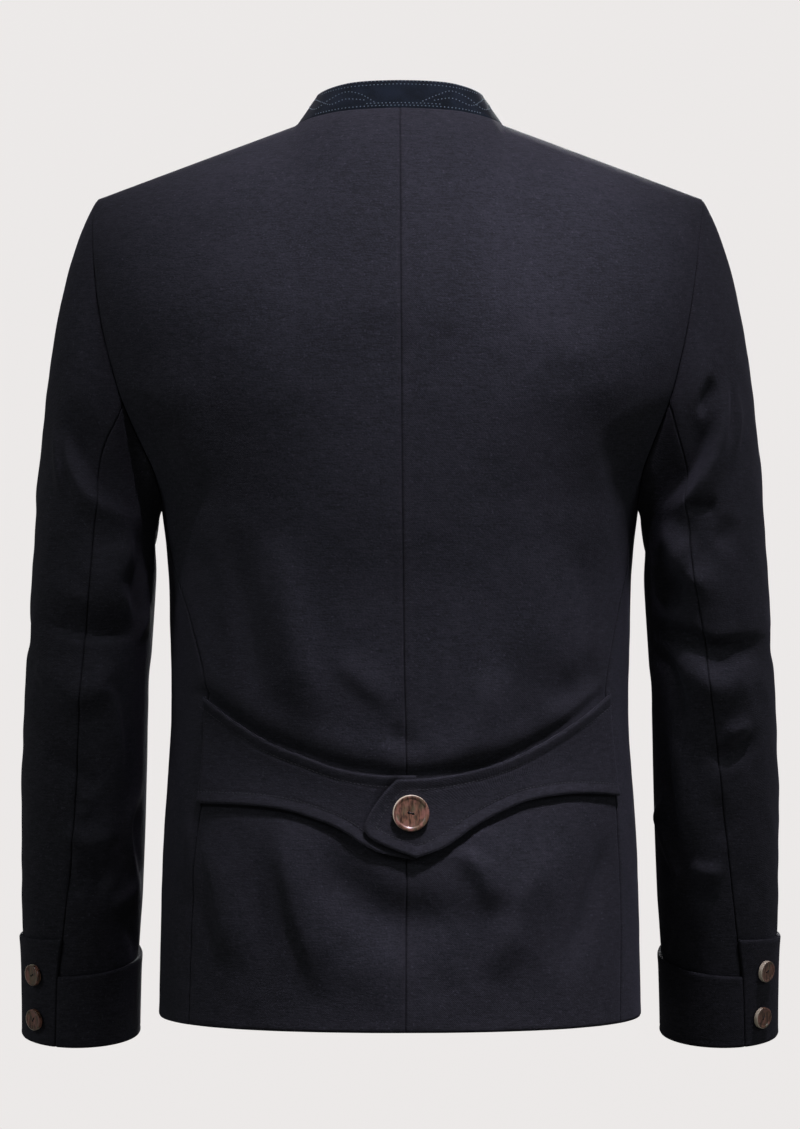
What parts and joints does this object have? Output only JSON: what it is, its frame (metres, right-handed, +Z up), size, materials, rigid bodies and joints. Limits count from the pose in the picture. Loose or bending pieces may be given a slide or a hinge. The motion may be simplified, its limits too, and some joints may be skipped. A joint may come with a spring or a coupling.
{
  "type": "double-breasted jacket",
  "caption": "Short wool jacket with a standing suede collar, a curved half belt buttoned across the back, turned-up cuffs and horn buttons, filled out as if worn.",
  "frame": {"origin": "midway between the two points where the shoulder seams reach the collar, at their height; the wearer holds the jacket up there", "axes": "+Z up, +Y towards the back of the jacket, so the wearer faces -Y; +X towards the wearer's left"},
  "size_m": [0.5785, 0.2803, 0.7235],
  "materials": {
    "wool": "fine matt wool, anthracite blue",
    "suede": "dark teal suede with tone-on-tone stitching",
    "horn": "brown staghorn with a pale rim"
  },
  "bodies": {
    "root": {"back_left": "wool", "side_left": "wool", "front_left": "wool", "upper_sleeve_left": "wool", "under_sleeve_left": "wool", "upper_cuff_left": "wool", "under_cuff_left": "wool", "belt_left": "wool", "back_right": "wool", "side_right": "wool", "front_right": "wool", "upper_sleeve_right": "wool", "under_sleeve_right": "wool", "upper_cuff_right": "wool", "under_cuff_right": "wool", "belt_right": "wool", "collar": "suede", "belt_button": "horn", "cuff_button_left_1": "horn", "cuff_button_left_2": "horn", "cuff_button_right_1": "horn", "cuff_button_right_2": "horn", "front_button_left_1": "horn", "front_button_left_2": "horn", "front_button_left_3": "horn", "front_button_left_4": "horn", "front_button_right_1": "horn", "front_button_right_2": "horn", "front_button_right_3": "horn", "front_button_right_4": "horn"}
  },
  "joints": []
}
